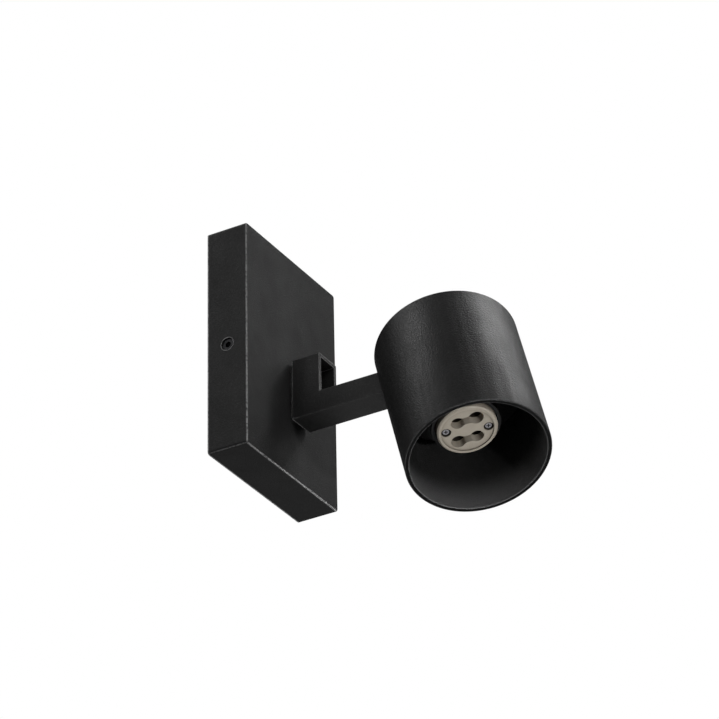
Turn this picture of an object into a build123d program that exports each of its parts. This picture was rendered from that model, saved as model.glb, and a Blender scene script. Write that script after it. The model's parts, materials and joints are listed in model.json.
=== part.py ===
from build123d import *
from math import cos, radians, sin, tan
import os

# A pivoting spotlight wall light. The origin is the middle of the canopy's face on the wall.
# +Z is up, the wall lies in the XZ plane and the lamp stands out of it towards -Y.
# Lengths are millimetres and angles are degrees.

# Canopy, the box on the wall
canopy_width = 72.0
canopy_height = 105.0
canopy_depth = 19.0
canopy_wall = 1.6
canopy_corner_radius = 1.4
canopy_edge_radius = 0.8
side_screw_drop = 3.5           # side screws below the canopy's middle
side_screw_radius = 2.0
side_screw_length = 7.0
side_screw_head_radius = 2.6
side_screw_sink = 0.8           # screw head below the canopy's side
side_screw_play = 0.35          # round the screw head in the canopy's hole
socket_recess_across = 2.5      # hexagon socket, across its flats
socket_recess_depth = 1.8

# Wall bracket inside the canopy
bracket_thickness = 1.5
bracket_width = 46.0
bracket_height = 92.0
bracket_wing_height = 18.0
bracket_corner_radius = 4.0
bracket_play = 0.4              # between the bracket and the canopy all round
tab_depth = 13.0                # tabs stand this far off the wall
slot_spacing = 76.0
slot_radius = 2.2
slot_length = 10.0
inlet_radius = 6.0
inlet_side = -8.0
inlet_height = -8.0

# Cable grommet
grommet_bore_radius = 4.0
grommet_lip = 1.8
grommet_lip_thickness = 1.2

# Terminal block
terminal_poles = 2              # live and neutral, as earth has its own screw
terminal_pitch = 9.0
terminal_depth = 17.0
terminal_thickness = 8.0
terminal_corner_radius = 1.0
terminal_tower_width = 6.2
terminal_tower_height = 4.5
terminal_tower_inset = 0.5      # tower inside the block's long edges
terminal_bore_radius = 1.7
terminal_centre_height = 20.0
terminal_gap = 1.2              # groove between two poles
terminal_gap_depth = 2.6
terminal_screw_radius = 1.8
terminal_screw_bore_depth = 2.0     # below the block's front
terminal_screw_sink = 1.0           # screw below its tower's end

# Small fixing screws
earth_screw_side = 14.0
earth_screw_height = -6.0
earth_screw_radius = 2.0
earth_head_margin = 1.6         # screw head's width round its shank
earth_head_height = 2.2
fixing_screw_radius = 1.4
fixing_head_margin = 1.0
fixing_head_height = 1.4
fixing_recess_depth = 2.0       # for the head, in the terminal block
fixing_recess_play = 0.2        # round the head
fixing_screw_play = 0.1
screw_slot_width = 0.8
screw_slot_depth = 0.9
washer_thickness = 0.8
washer_margin = 2.0             # washer's width round its screw
washer_play = 0.1

# Arm bracket: hollow stub and bar arm in one
arm_side = 4.5                  # arm's centre line, right of the canopy's middle
arm_drop = 21.5                 # arm's centre line, below the canopy's middle
arm_width = 14.0
arm_height = 10.0
arm_length = 30.4               # from the stub's front to the arm's end
stub_height = 28.0
stub_depth = 13.0
stub_wall = 1.6
stub_back_wall = 2.6
arm_edge_radius = 0.5
wire_bore_radius = 2.8
spacer_thickness = 1.4
spacer_inset = 1.2
spacer_corner_radius = 1.5

# Hollow nipple that joins stub and canopy
nipple_radius = 5.0
nipple_bore_radius = 3.6
nipple_play = 0.05
nipple_tail = 5.6               # inside the canopy, behind its front wall
nipple_nut_across = 14.0
nipple_nut_thickness = 3.0
lock_washer_radius = 8.0
lock_washer_thickness = 1.0
lock_washer_teeth = 10
lock_washer_gap_length = 2.4
lock_washer_gap_width = 1.6

# Swivel between arm and yoke
stud_radius = 4.0
stud_length = 12.0
stud_bore_radius = 2.4
stud_end_play = 0.5             # behind the stud in the arm's bore
running_play = 0.05             # radial, in every turning fit
stud_groove_centre = 7.0        # from the arm's end
stud_groove_width = 3.2
stud_groove_depth = 0.9
stop_lug_width = 1.0            # left standing in the groove, ends the swivel's turn
lock_screw_radius = 1.5
lock_screw_tip_radius = 1.2
lock_screw_sink = 0.2           # below the arm's top
lock_tip_play = 0.3             # between the screw's tip and the groove's floor
swivel_washer_radius = 4.8
swivel_washer_thickness = 0.5

# Yoke and hinge
top_play = 0.3                  # swivel washer to head's closed end, where that end faces the arm
yoke_width = 8.0
yoke_height = 7.0
yoke_web = 4.0                  # solid root behind the cheeks
cheek_gap = 4.0
pin_radius = 2.0
hinge_washer_radius = 3.4
hinge_washer_thickness = 0.45
ear_thickness = 2.5
ear_radius = 4.6
hinge_nut_across = 7.0
hinge_nut_thickness = 3.2
hinge_head_radius = 3.5
hinge_head_height = 2.4
hinge_recess_across = 2.6
hinge_recess_depth = 1.4
hinge_pin_spare = 0.6           # pin beyond its nut
hinge_play = 0.5                # round the yoke in the head's cap
arm_play = 0.3                  # round the arm in the head's slot, at every turn of the swivel

# Head
head_roll = 12.0                # head turned about the arm
head_tilt = 17.5                # opening tipped out from the wall
tilt_in_limit = 15.0            # furthest tilt back towards the wall
head_radius = 30.0
head_wall = 2.0
head_length = 68.0
pin_below_top = 9.0             # hinge pin below the head's closed end
pin_behind_wall = 12.0          # hinge pin inside the tube's outer surface
head_edge_chamfer = 0.5
rim_edge_chamfer = 0.3
cap_thickness = 3.0
cap_play = 0.05
boss_radius = 3.5
boss_side = 19.0
boss_bore_radius = 1.3
boss_bore_depth = 10.0
root_overlap = 0.5              # ears and bosses run into the cap by this much

# Lampholder and its carrier
holder_sink = 16.5              # lampholder's face inside the open rim
holder_radius = 12.5
holder_back = 1.3               # lampholder's axis behind the head's axis
holder_length = 22.0
face_thickness = 4.5
face_rim_width = 1.6
face_rim_height = 0.6
socket_turn = 15.9              # keyhole slots turned about the lampholder's axis
keyhole_pitch = 9.7             # between the two slots' middle lines
keyhole_reach = 7.8             # between a slot's two round ends
keyhole_shift = 0.95            # slot's middle, towards its large end
keyhole_large_radius = 3.1
keyhole_small_radius = 2.8
keyhole_waist = 3.6
keyhole_blend_radius = 1.4      # between a round end and the waist
contact_pocket_play = 0.3       # pocket in the body, wider than the slot
contact_pocket_depth = 9.0      # below the face plate, inside the body
lead_hole_width = 2.2
screw_turn = 117.4              # lampholder screws turned about the lampholder's axis
holder_screw_pitch = 17.4
holder_screw_radius = 1.0
holder_screw_play = 0.1
holder_screw_head_radius = 1.5
holder_screw_head_play = 0.55
holder_screw_head_height = 1.4
holder_screw_sink = 1.1
holder_recess_width = 0.45
holder_recess_length = 1.9
holder_recess_depth = 0.6
cross_recess_width = 0.7
cross_recess_length = 2.6
cross_recess_depth = 0.8
clip_thickness = 0.5
clip_set_back = 1.5             # spring's end behind the face plate
cup_play = 0.5
cup_wall = 1.2
cup_set_back = 3.0              # cup's rim behind the lampholder's face
cup_floor = 1.5
baffle_thickness = 1.5
baffle_play = 0.3
baffle_wire_radius = 4.0
baffle_screw_radius = 1.25
baffle_screw_play = 0.1
baffle_screw_head_radius = 2.6
baffle_screw_head_height = 1.8

cut_past = 1.0                  # cuts run past the faces that they open

# ---- Places worked out from the sizes above ----
wall_plane = Plane.XZ           # its normal points out of the wall
canopy_front = canopy_depth
canopy_inside_front = canopy_depth - canopy_wall
arm_z = -arm_drop
stub_bottom = arm_z - arm_height / 2
stub_z = stub_bottom + stub_height / 2
stub_back = canopy_front + spacer_thickness
stub_front = stub_back + stub_depth
arm_end = stub_front + arm_length
arm_top = arm_z + arm_height / 2
yoke_root = pin_below_top + top_play
pivot_reach = yoke_root + swivel_washer_thickness
pivot_out = arm_end + pivot_reach
pivot = Vector(arm_side, -pivot_out, arm_z)

roll = radians(head_roll)
tilt = radians(head_tilt)
side_dir = Vector(cos(roll), 0, -sin(roll))
rolled_up = Vector(sin(roll), 0, cos(roll))
up_dir = rolled_up * cos(tilt) + Vector(0, 1, 0) * sin(tilt)
back_dir = up_dir.cross(side_dir)
pin_offset = head_radius - pin_behind_wall
pin_height = head_length - pin_below_top
rim_centre = pivot - back_dir * pin_offset - up_dir * pin_height


def wall_offset(distance, side=0.0, height=0.0):
    """Plane parallel to the wall, facing out, with its origin moved along the wall."""
    return Plane(origin=(side, -distance, height), x_dir=(1, 0, 0), z_dir=(0, -1, 0))


def head_plane(height, side=0.0, back=0.0):
    """Plane square to the head's axis, at a height above its open rim."""
    place = rim_centre + up_dir * height + side_dir * side + back_dir * back
    return Plane(origin=place, x_dir=side_dir, z_dir=up_dir)


def holder_plane(height):
    """Plane square to the lampholder's axis, at a height above the head's open rim."""
    return head_plane(height, 0, holder_back)


def pin_plane(offset):
    """Plane square to the hinge pin. Its x points to the top of the head, along the tube."""
    return Plane(origin=pivot + side_dir * offset, x_dir=up_dir, z_dir=side_dir)


def yoke_plane(offset):
    """Plane square to the hinge pin. Its x points back along the arm, to the wall."""
    return Plane(origin=pivot + side_dir * offset, x_dir=(0, 1, 0), z_dir=side_dir)


def swivel_plane(distance):
    """Plane square to the arm, turned with the head, at a distance from the wall."""
    return Plane(origin=(arm_side, -distance, arm_z), x_dir=side_dir, z_dir=(0, -1, 0))


# ---- Canopy ----
side_screw_z = -side_screw_drop
side_screw_out = canopy_depth / 2
with BuildPart() as canopy_cover:
    with BuildSketch(wall_plane):
        Rectangle(canopy_width, canopy_height)
    extrude(amount=canopy_depth)
    fillet(canopy_cover.edges().filter_by(Axis.Y), canopy_corner_radius)
    fillet(canopy_cover.faces().sort_by(Axis.Y)[0].edges(), canopy_edge_radius)
    with BuildSketch(wall_plane):
        Rectangle(canopy_width - 2 * canopy_wall, canopy_height - 2 * canopy_wall)
    extrude(amount=canopy_inside_front, mode=Mode.SUBTRACT)
    with BuildSketch(Plane.YZ.offset(-canopy_width / 2 - cut_past)):
        with Locations((-side_screw_out, side_screw_z)):
            Circle(side_screw_head_radius + side_screw_play)
    extrude(amount=canopy_width + 2 * cut_past, mode=Mode.SUBTRACT)
    with BuildSketch(wall_offset(canopy_front + cut_past, arm_side, stub_z)):
        Circle(nipple_radius + nipple_play)
    extrude(amount=-canopy_wall - 2 * cut_past, mode=Mode.SUBTRACT)
canopy_cover.part.label = "canopy_cover"

# ---- Wall bracket ----
tab_out = canopy_width / 2 - canopy_wall - bracket_play
with BuildPart() as wall_bracket:
    with BuildSketch(wall_plane):
        RectangleRounded(bracket_width, bracket_height, bracket_corner_radius)
        with Locations((0, side_screw_z)):
            Rectangle(2 * tab_out, bracket_wing_height)
        with Locations((0, slot_spacing / 2), (0, -slot_spacing / 2)):
            SlotOverall(slot_length, 2 * slot_radius, rotation=90, mode=Mode.SUBTRACT)
        with Locations((inlet_side, inlet_height)):
            Circle(inlet_radius, mode=Mode.SUBTRACT)
        with Locations((earth_screw_side, earth_screw_height)):
            Circle(earth_screw_radius, mode=Mode.SUBTRACT)
        with Locations((0, terminal_centre_height)):
            Circle(fixing_screw_radius, mode=Mode.SUBTRACT)
    extrude(amount=bracket_thickness)
    with BuildSketch(wall_plane):
        with Locations((tab_out - bracket_thickness / 2, side_screw_z)):
            Rectangle(bracket_thickness, bracket_wing_height)
        with Locations((-tab_out + bracket_thickness / 2, side_screw_z)):
            Rectangle(bracket_thickness, bracket_wing_height)
    extrude(amount=tab_depth)
    with BuildSketch(Plane.YZ.offset(-tab_out - cut_past)):
        with Locations((-side_screw_out, side_screw_z)):
            Circle(side_screw_radius)
    extrude(amount=2 * tab_out + 2 * cut_past, mode=Mode.SUBTRACT)
wall_bracket.part.label = "wall_bracket"

# ---- Side screws, one in each tab, with their heads in the canopy's holes ----
screw_face = canopy_width / 2 - side_screw_sink
with BuildPart() as side_screws:
    for hand in (-1, 1):
        outer = Plane(origin=(hand * screw_face, -side_screw_out, side_screw_z),
                      x_dir=(0, 0, 1), z_dir=(hand, 0, 0))
        with BuildSketch(outer):
            Circle(side_screw_head_radius)
        extrude(amount=tab_out - screw_face)
        with BuildSketch(outer):
            Circle(side_screw_radius)
        extrude(amount=-side_screw_length)
        with BuildSketch(outer):
            RegularPolygon(socket_recess_across / 2, 6, major_radius=False)
        extrude(amount=-socket_recess_depth, mode=Mode.SUBTRACT)
side_screws.part.label = "side_screws"

# ---- Cable grommet, snapped into the bracket's inlet ----
inlet_plane = wall_offset(0, inlet_side, inlet_height)
with BuildPart() as cable_grommet:
    with BuildSketch(inlet_plane):
        Circle(inlet_radius)
    extrude(amount=bracket_thickness)
    with BuildSketch(inlet_plane.offset(bracket_thickness)):
        Circle(inlet_radius + grommet_lip)
    extrude(amount=grommet_lip_thickness)
    with BuildSketch(inlet_plane):
        Circle(grommet_bore_radius)
    extrude(amount=bracket_thickness + grommet_lip_thickness, mode=Mode.SUBTRACT)
cable_grommet.part.label = "cable_grommet"

# ---- Terminal block ----
block_width = terminal_poles * terminal_pitch
tower_row = (terminal_depth - terminal_tower_width) / 2 - terminal_tower_inset
pole_sides = [(pole - (terminal_poles - 1) / 2) * terminal_pitch for pole in range(terminal_poles)]
tower_places = [(side, row) for side in pole_sides for row in (-tower_row, tower_row)]
block_plane = wall_offset(bracket_thickness, 0, terminal_centre_height)
block_front = bracket_thickness + terminal_thickness
wire_height = bracket_thickness + terminal_thickness / 2
tower_plane = wall_offset(block_front, 0, terminal_centre_height)
tower_front = wall_offset(block_front + terminal_tower_height, 0, terminal_centre_height)
with BuildPart() as terminal_block:
    with BuildSketch(block_plane):
        RectangleRounded(block_width, terminal_depth, terminal_corner_radius)
    extrude(amount=terminal_thickness)
    with BuildSketch(tower_plane):
        with Locations(*tower_places):
            Rectangle(terminal_tower_width, terminal_tower_width)
    extrude(amount=terminal_tower_height)
    with BuildSketch(tower_front):
        with Locations(*tower_places):
            Circle(terminal_screw_radius)
    extrude(amount=-terminal_tower_height - terminal_screw_bore_depth, mode=Mode.SUBTRACT)
    with BuildSketch(Plane.XY.offset(terminal_centre_height - terminal_depth / 2 - cut_past)):
        with Locations(*[(side, -wire_height) for side in pole_sides]):
            Circle(terminal_bore_radius)
    extrude(amount=terminal_depth + 2 * cut_past, mode=Mode.SUBTRACT)
    with BuildSketch(tower_plane):
        for side in pole_sides[1:]:
            with Locations((side - terminal_pitch / 2, 0)):
                Rectangle(terminal_gap, terminal_depth)
    extrude(amount=-terminal_gap_depth, mode=Mode.SUBTRACT)
    with BuildSketch(tower_plane):
        Circle(fixing_screw_radius + fixing_head_margin + fixing_recess_play)
    extrude(amount=-fixing_recess_depth, mode=Mode.SUBTRACT)
    with BuildSketch(tower_plane):
        Circle(fixing_screw_radius + fixing_screw_play)
    extrude(amount=-terminal_thickness, mode=Mode.SUBTRACT)
terminal_block.part.label = "terminal_block"

# ---- Terminal screws, two to a pole ----
terminal_screw_top = tower_front.offset(-terminal_screw_sink)
with BuildPart() as terminal_screws:
    with BuildSketch(terminal_screw_top):
        with Locations(*tower_places):
            Circle(terminal_screw_radius)
    extrude(amount=-terminal_tower_height)
    with BuildSketch(terminal_screw_top):
        with Locations(*tower_places):
            Rectangle(2 * terminal_screw_radius, screw_slot_width)
    extrude(amount=-screw_slot_depth, mode=Mode.SUBTRACT)
terminal_screws.part.label = "terminal_screws"

# ---- Screw that holds the terminal block on the bracket ----
fixing_seat = tower_plane.offset(-fixing_recess_depth)
with BuildPart() as terminal_fixing_screw:
    with BuildSketch(fixing_seat):
        Circle(fixing_screw_radius + fixing_head_margin)
    extrude(amount=fixing_head_height)
    with BuildSketch(fixing_seat):
        Circle(fixing_screw_radius)
    extrude(amount=-(block_front - fixing_recess_depth))
    with BuildSketch(fixing_seat.offset(fixing_head_height)):
        Rectangle(2 * (fixing_screw_radius + fixing_head_margin), screw_slot_width)
    extrude(amount=-screw_slot_depth, mode=Mode.SUBTRACT)
terminal_fixing_screw.part.label = "terminal_fixing_screw"

# ---- Earth screw and its washer ----
earth_plane = wall_offset(bracket_thickness, earth_screw_side, earth_screw_height)
with BuildPart() as earth_washer:
    with BuildSketch(earth_plane):
        Circle(earth_screw_radius + washer_margin)
        Circle(earth_screw_radius + washer_play, mode=Mode.SUBTRACT)
    extrude(amount=washer_thickness)
earth_washer.part.label = "earth_washer"

earth_head_plane = earth_plane.offset(washer_thickness)
with BuildPart() as earth_screw:
    with BuildSketch(earth_head_plane):
        Circle(earth_screw_radius + earth_head_margin)
    extrude(amount=earth_head_height)
    with BuildSketch(earth_head_plane):
        Circle(earth_screw_radius)
    extrude(amount=-(washer_thickness + bracket_thickness))
    with BuildSketch(earth_head_plane.offset(earth_head_height)):
        Rectangle(2 * (earth_screw_radius + earth_head_margin), screw_slot_width)
    extrude(amount=-screw_slot_depth, mode=Mode.SUBTRACT)
earth_screw.part.label = "earth_screw"

# ---- Spacer between canopy and stub ----
with BuildPart() as spacer_washer:
    with BuildSketch(wall_offset(canopy_front, arm_side, stub_z)):
        RectangleRounded(arm_width - 2 * spacer_inset, stub_height - 2 * spacer_inset,
                         spacer_corner_radius)
        Circle(nipple_radius + nipple_play, mode=Mode.SUBTRACT)
    extrude(amount=spacer_thickness)
spacer_washer.part.label = "spacer_washer"

# ---- Arm bracket ----
stub_plane = wall_offset(stub_back, arm_side, stub_z)
cavity_width = arm_width - 2 * stub_wall
cavity_height = stub_height - 2 * stub_wall
window_height = cavity_height - arm_height + stub_wall
window_centre = stub_height / 2 - stub_wall - window_height / 2
with BuildPart() as arm_bracket:
    with BuildSketch(stub_plane):
        Rectangle(arm_width, stub_height)
    extrude(amount=stub_depth)
    with BuildSketch(wall_offset(stub_front, arm_side, arm_z)):
        Rectangle(arm_width, arm_height)
    extrude(amount=arm_length)
    fillet(arm_bracket.edges().filter_by(Axis.Y), arm_edge_radius)
    with BuildSketch(stub_plane.offset(stub_back_wall)):
        Rectangle(cavity_width, cavity_height)
    extrude(amount=stub_depth - stub_back_wall - stub_wall, mode=Mode.SUBTRACT)
    with BuildSketch(stub_plane.offset(stub_back_wall)):
        with Locations((0, window_centre)):
            Rectangle(cavity_width, window_height)
    extrude(amount=stub_depth, mode=Mode.SUBTRACT)
    with BuildSketch(stub_plane):
        Circle(nipple_radius + nipple_play)
    extrude(amount=stub_back_wall, mode=Mode.SUBTRACT)
    with BuildSketch(wall_offset(stub_back + stub_back_wall, arm_side, arm_z)):
        Circle(wire_bore_radius)
    extrude(amount=arm_end, mode=Mode.SUBTRACT)
    with BuildSketch(swivel_plane(arm_end)):
        Circle(stud_radius + running_play)
    extrude(amount=-stud_length - stud_end_play, mode=Mode.SUBTRACT)
    with BuildSketch(Plane.XY.offset(arm_top)):
        with Locations((arm_side, -arm_end + stud_groove_centre)):
            Circle(lock_screw_radius)
    extrude(amount=-arm_height / 2, mode=Mode.SUBTRACT)
arm_bracket.part.label = "arm_bracket"

# ---- Hollow nipple, its nut and its toothed washer ----
nipple_back = canopy_inside_front - nipple_tail
nipple_length = stub_back + stub_back_wall - nipple_back
with BuildPart() as threaded_nipple:
    with BuildSketch(wall_offset(nipple_back, arm_side, stub_z)):
        Circle(nipple_radius)
        Circle(nipple_bore_radius, mode=Mode.SUBTRACT)
    extrude(amount=nipple_length)
threaded_nipple.part.label = "threaded_nipple"

with BuildPart() as nipple_lock_washer:
    with BuildSketch(wall_offset(canopy_inside_front, arm_side, stub_z)):
        Circle(lock_washer_radius)
        with PolarLocations(lock_washer_radius, lock_washer_teeth):
            Rectangle(lock_washer_gap_length, lock_washer_gap_width, mode=Mode.SUBTRACT)
        Circle(nipple_radius + nipple_play, mode=Mode.SUBTRACT)
    extrude(amount=-lock_washer_thickness)
nipple_lock_washer.part.label = "nipple_lock_washer"

with BuildPart() as nipple_nut:
    with BuildSketch(wall_offset(canopy_inside_front - lock_washer_thickness, arm_side, stub_z)):
        RegularPolygon(nipple_nut_across / 2, 6, major_radius=False)
        Circle(nipple_radius + nipple_play, mode=Mode.SUBTRACT)
    extrude(amount=-nipple_nut_thickness)
nipple_nut.part.label = "nipple_nut"

# ---- Swivel: yoke with hollow stud, friction washer and lock screw ----
with BuildPart() as pivot_yoke:
    with BuildSketch(yoke_plane(-yoke_width / 2)):
        Circle(yoke_height / 2)
        with Locations((yoke_root / 2, 0)):
            Rectangle(yoke_root, yoke_height)
    extrude(amount=yoke_width)
    with BuildSketch(yoke_plane(-cheek_gap / 2)):
        with Locations(((yoke_root - yoke_web - yoke_height) / 2, 0)):
            Rectangle(yoke_root - yoke_web + yoke_height, yoke_height)
    extrude(amount=cheek_gap, mode=Mode.SUBTRACT)
    with BuildSketch(yoke_plane(-yoke_width / 2)):
        Circle(pin_radius + running_play)
    extrude(amount=yoke_width, mode=Mode.SUBTRACT)
    with BuildSketch(swivel_plane(arm_end + swivel_washer_thickness)):
        Circle(stud_radius)
    extrude(amount=-(stud_length + swivel_washer_thickness))
    with BuildSketch(swivel_plane(arm_end - stud_groove_centre + stud_groove_width / 2)):
        Circle(stud_radius)
        Circle(stud_radius - stud_groove_depth, mode=Mode.SUBTRACT)
        with Locations((0, -stud_radius)):
            Rectangle(stop_lug_width, stud_radius, mode=Mode.SUBTRACT)
    extrude(amount=-stud_groove_width, mode=Mode.SUBTRACT)
    with BuildSketch(swivel_plane(arm_end + swivel_washer_thickness + yoke_web + cut_past)):
        Circle(stud_bore_radius)
    extrude(amount=-(stud_length + swivel_washer_thickness + yoke_web + 2 * cut_past),
            mode=Mode.SUBTRACT)
pivot_yoke.part.label = "pivot_yoke"

with BuildPart() as swivel_washer:
    with BuildSketch(swivel_plane(arm_end)):
        Circle(swivel_washer_radius)
        Circle(stud_radius, mode=Mode.SUBTRACT)
    extrude(amount=swivel_washer_thickness)
swivel_washer.part.label = "swivel_washer"

lock_top = arm_top - lock_screw_sink
lock_shoulder = arm_z + stud_radius + running_play
lock_tip = arm_z + stud_radius - stud_groove_depth + lock_tip_play
with BuildPart() as swivel_lock_screw:
    with BuildSketch(Plane.XY.offset(lock_top)):
        with Locations((arm_side, -arm_end + stud_groove_centre)):
            Circle(lock_screw_radius)
    extrude(amount=lock_shoulder - lock_top)
    with BuildSketch(Plane.XY.offset(lock_top)):
        with Locations((arm_side, -arm_end + stud_groove_centre)):
            Circle(lock_screw_tip_radius)
    extrude(amount=lock_tip - lock_top)
swivel_lock_screw.part.label = "swivel_lock_screw"

# ---- Head tube ----
arm_corner_out = arm_width / 2 - arm_edge_radius
arm_corner_up = arm_height / 2 - arm_edge_radius
arm_reach = (arm_corner_out ** 2 + arm_corner_up ** 2) ** 0.5 + arm_edge_radius
arm_slot_width = 2 * (arm_reach + arm_play)
sweep_in = radians(tilt_in_limit)
slot_below_pin = pin_behind_wall * tan(sweep_in) + arm_reach / cos(sweep_in) + arm_play
slot_bottom = pin_height - slot_below_pin
with BuildPart() as head_tube:
    with BuildSketch(head_plane(0)):
        Circle(head_radius)
    extrude(amount=head_length)
    chamfer(head_tube.edges().sort_by(lambda edge: edge.center().dot(up_dir))[-1], head_edge_chamfer)
    with BuildSketch(head_plane(0)):
        Circle(head_radius - head_wall)
    extrude(amount=head_length, mode=Mode.SUBTRACT)
    chamfer(head_tube.edges().filter_by(GeomType.CIRCLE).sort_by(
        lambda edge: edge.center().dot(up_dir))[:2], rim_edge_chamfer)
    with BuildSketch(head_plane(slot_bottom, 0, head_radius)):
        Rectangle(arm_slot_width, head_radius)
    extrude(amount=head_length, mode=Mode.SUBTRACT)
head_tube.part.label = "head_tube"

# ---- Head cap with hinge ears and bosses ----
yoke_notch_width = yoke_width + 2 * hinge_play
yoke_notch_start = pin_offset - yoke_height / 2 - hinge_play
arm_notch_start = pin_offset + (yoke_root ** 2 - pin_below_top ** 2) ** 0.5 - hinge_play
cap_underside = head_length - cap_thickness
ear_root = cap_underside - pin_height
baffle_height = holder_sink + holder_length + cup_floor
boss_length = cap_underside - baffle_height - baffle_thickness
boss_places = [(-boss_side, 0), (boss_side, 0)]
with BuildPart() as head_cap:
    with BuildSketch(head_plane(cap_underside)):
        Circle(head_radius - head_wall - cap_play)
    extrude(amount=cap_thickness)
    for inner in (-yoke_notch_width / 2 - ear_thickness, yoke_notch_width / 2):
        with BuildSketch(pin_plane(inner)):
            Circle(ear_radius)
            with Locations(((ear_root + root_overlap) / 2, 0)):
                Rectangle(ear_root + root_overlap, 2 * ear_radius)
        extrude(amount=ear_thickness)
    with BuildSketch(head_plane(cap_underside + root_overlap)):
        with Locations(*boss_places):
            Circle(boss_radius)
    extrude(amount=-boss_length - root_overlap)
    with BuildSketch(pin_plane(-yoke_notch_width)):
        Circle(pin_radius)
    extrude(amount=2 * yoke_notch_width, mode=Mode.SUBTRACT)
    with BuildSketch(head_plane(cap_underside, 0, yoke_notch_start + head_radius / 2)):
        Rectangle(yoke_notch_width, head_radius)
    extrude(amount=cap_thickness, mode=Mode.SUBTRACT)
    with BuildSketch(head_plane(cap_underside, 0, arm_notch_start + head_radius / 2)):
        Rectangle(arm_slot_width, head_radius)
    extrude(amount=cap_thickness, mode=Mode.SUBTRACT)
    with BuildSketch(head_plane(baffle_height + baffle_thickness)):
        with Locations(*boss_places):
            Circle(boss_bore_radius)
    extrude(amount=boss_bore_depth, mode=Mode.SUBTRACT)
head_cap.part.label = "head_cap"

# ---- Hinge pin: screw, nut and friction washers ----
ear_outer = yoke_notch_width / 2 + ear_thickness
with BuildPart() as hinge_screw:
    with BuildSketch(pin_plane(-ear_outer)):
        Circle(pin_radius)
    extrude(amount=2 * ear_outer + hinge_nut_thickness + hinge_pin_spare)
    with BuildSketch(pin_plane(-ear_outer)):
        Circle(hinge_head_radius)
    extrude(amount=-hinge_head_height)
    with BuildSketch(pin_plane(-ear_outer - hinge_head_height)):
        RegularPolygon(hinge_recess_across / 2, 6, major_radius=False)
    extrude(amount=hinge_recess_depth, mode=Mode.SUBTRACT)
hinge_screw.part.label = "hinge_screw"

with BuildPart() as hinge_nut:
    with BuildSketch(pin_plane(ear_outer)):
        RegularPolygon(hinge_nut_across / 2, 6, major_radius=False)
        Circle(pin_radius, mode=Mode.SUBTRACT)
    extrude(amount=hinge_nut_thickness)
hinge_nut.part.label = "hinge_nut"

with BuildPart() as hinge_washers:
    for hand in (-1, 1):
        with BuildSketch(pin_plane(hand * yoke_notch_width / 2)):
            Circle(hinge_washer_radius)
            Circle(pin_radius, mode=Mode.SUBTRACT)
        extrude(amount=-hand * hinge_washer_thickness)
hinge_washers.part.label = "hinge_washers"

# ---- Baffle that carries the lampholder, and its screws ----
with BuildPart() as inner_baffle:
    with BuildSketch(head_plane(baffle_height)):
        Circle(head_radius - head_wall - baffle_play)
        with Locations(*boss_places):
            Circle(baffle_screw_radius + baffle_screw_play, mode=Mode.SUBTRACT)
    extrude(amount=baffle_thickness)
    with BuildSketch(holder_plane(baffle_height)):
        Circle(baffle_wire_radius)
        with PolarLocations(holder_screw_pitch / 2, 2, start_angle=screw_turn):
            Circle(holder_screw_radius)
    extrude(amount=baffle_thickness, mode=Mode.SUBTRACT)
inner_baffle.part.label = "inner_baffle"

with BuildPart() as baffle_screws:
    with BuildSketch(head_plane(baffle_height - baffle_screw_head_height)):
        with Locations(*boss_places):
            Circle(baffle_screw_head_radius)
    extrude(amount=baffle_screw_head_height)
    with BuildSketch(head_plane(baffle_height)):
        with Locations(*boss_places):
            Circle(baffle_screw_radius)
    extrude(amount=boss_bore_depth)
    with BuildSketch(head_plane(baffle_height - baffle_screw_head_height)):
        with Locations(*boss_places):
            Rectangle(cross_recess_length, cross_recess_width)
            Rectangle(cross_recess_width, cross_recess_length)
    extrude(amount=cross_recess_depth, mode=Mode.SUBTRACT)
baffle_screws.part.label = "baffle_screws"

# ---- Cup round the lampholder ----
cup_rim = holder_sink + cup_set_back
cup_inside_radius = holder_radius + cup_play
with BuildPart() as holder_cup:
    with BuildSketch(holder_plane(cup_rim)):
        Circle(cup_inside_radius + cup_wall)
    extrude(amount=baffle_height - cup_rim)
    with BuildSketch(holder_plane(cup_rim)):
        Circle(cup_inside_radius)
    extrude(amount=baffle_height - cup_floor - cup_rim, mode=Mode.SUBTRACT)
    with BuildSketch(holder_plane(baffle_height - cup_floor)):
        Circle(baffle_wire_radius)
        with PolarLocations(holder_screw_pitch / 2, 2, start_angle=screw_turn):
            Circle(holder_screw_radius)
    extrude(amount=cup_floor, mode=Mode.SUBTRACT)
holder_cup.part.label = "holder_cup"

# ---- Ceramic lampholder ----
socket_angle = radians(socket_turn)
keyhole_middle = keyhole_pitch / 2
large_end = -keyhole_shift - keyhole_reach / 2
small_end = -keyhole_shift + keyhole_reach / 2
pocket_start = large_end - keyhole_large_radius - contact_pocket_play
pocket_end = small_end + keyhole_small_radius + contact_pocket_play
pocket_width = 2 * (keyhole_large_radius + contact_pocket_play)
body_bottom = holder_sink + face_thickness


def waist_corner(vertex):
    """Whether a point of the slot's outline lies where its waist meets a round end."""
    return abs(abs(vertex.Y - keyhole_middle) - keyhole_waist / 2) < keyhole_waist / 100


def socket_plane(height, half_turn):
    """Plane square to the lampholder's axis, turned so that a slot's middle lies at +Y."""
    angle = socket_angle - radians(90) + half_turn * radians(180)
    turned = side_dir * cos(angle) + back_dir * sin(angle)
    return Plane(origin=holder_plane(height).origin, x_dir=turned, z_dir=up_dir)


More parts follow.
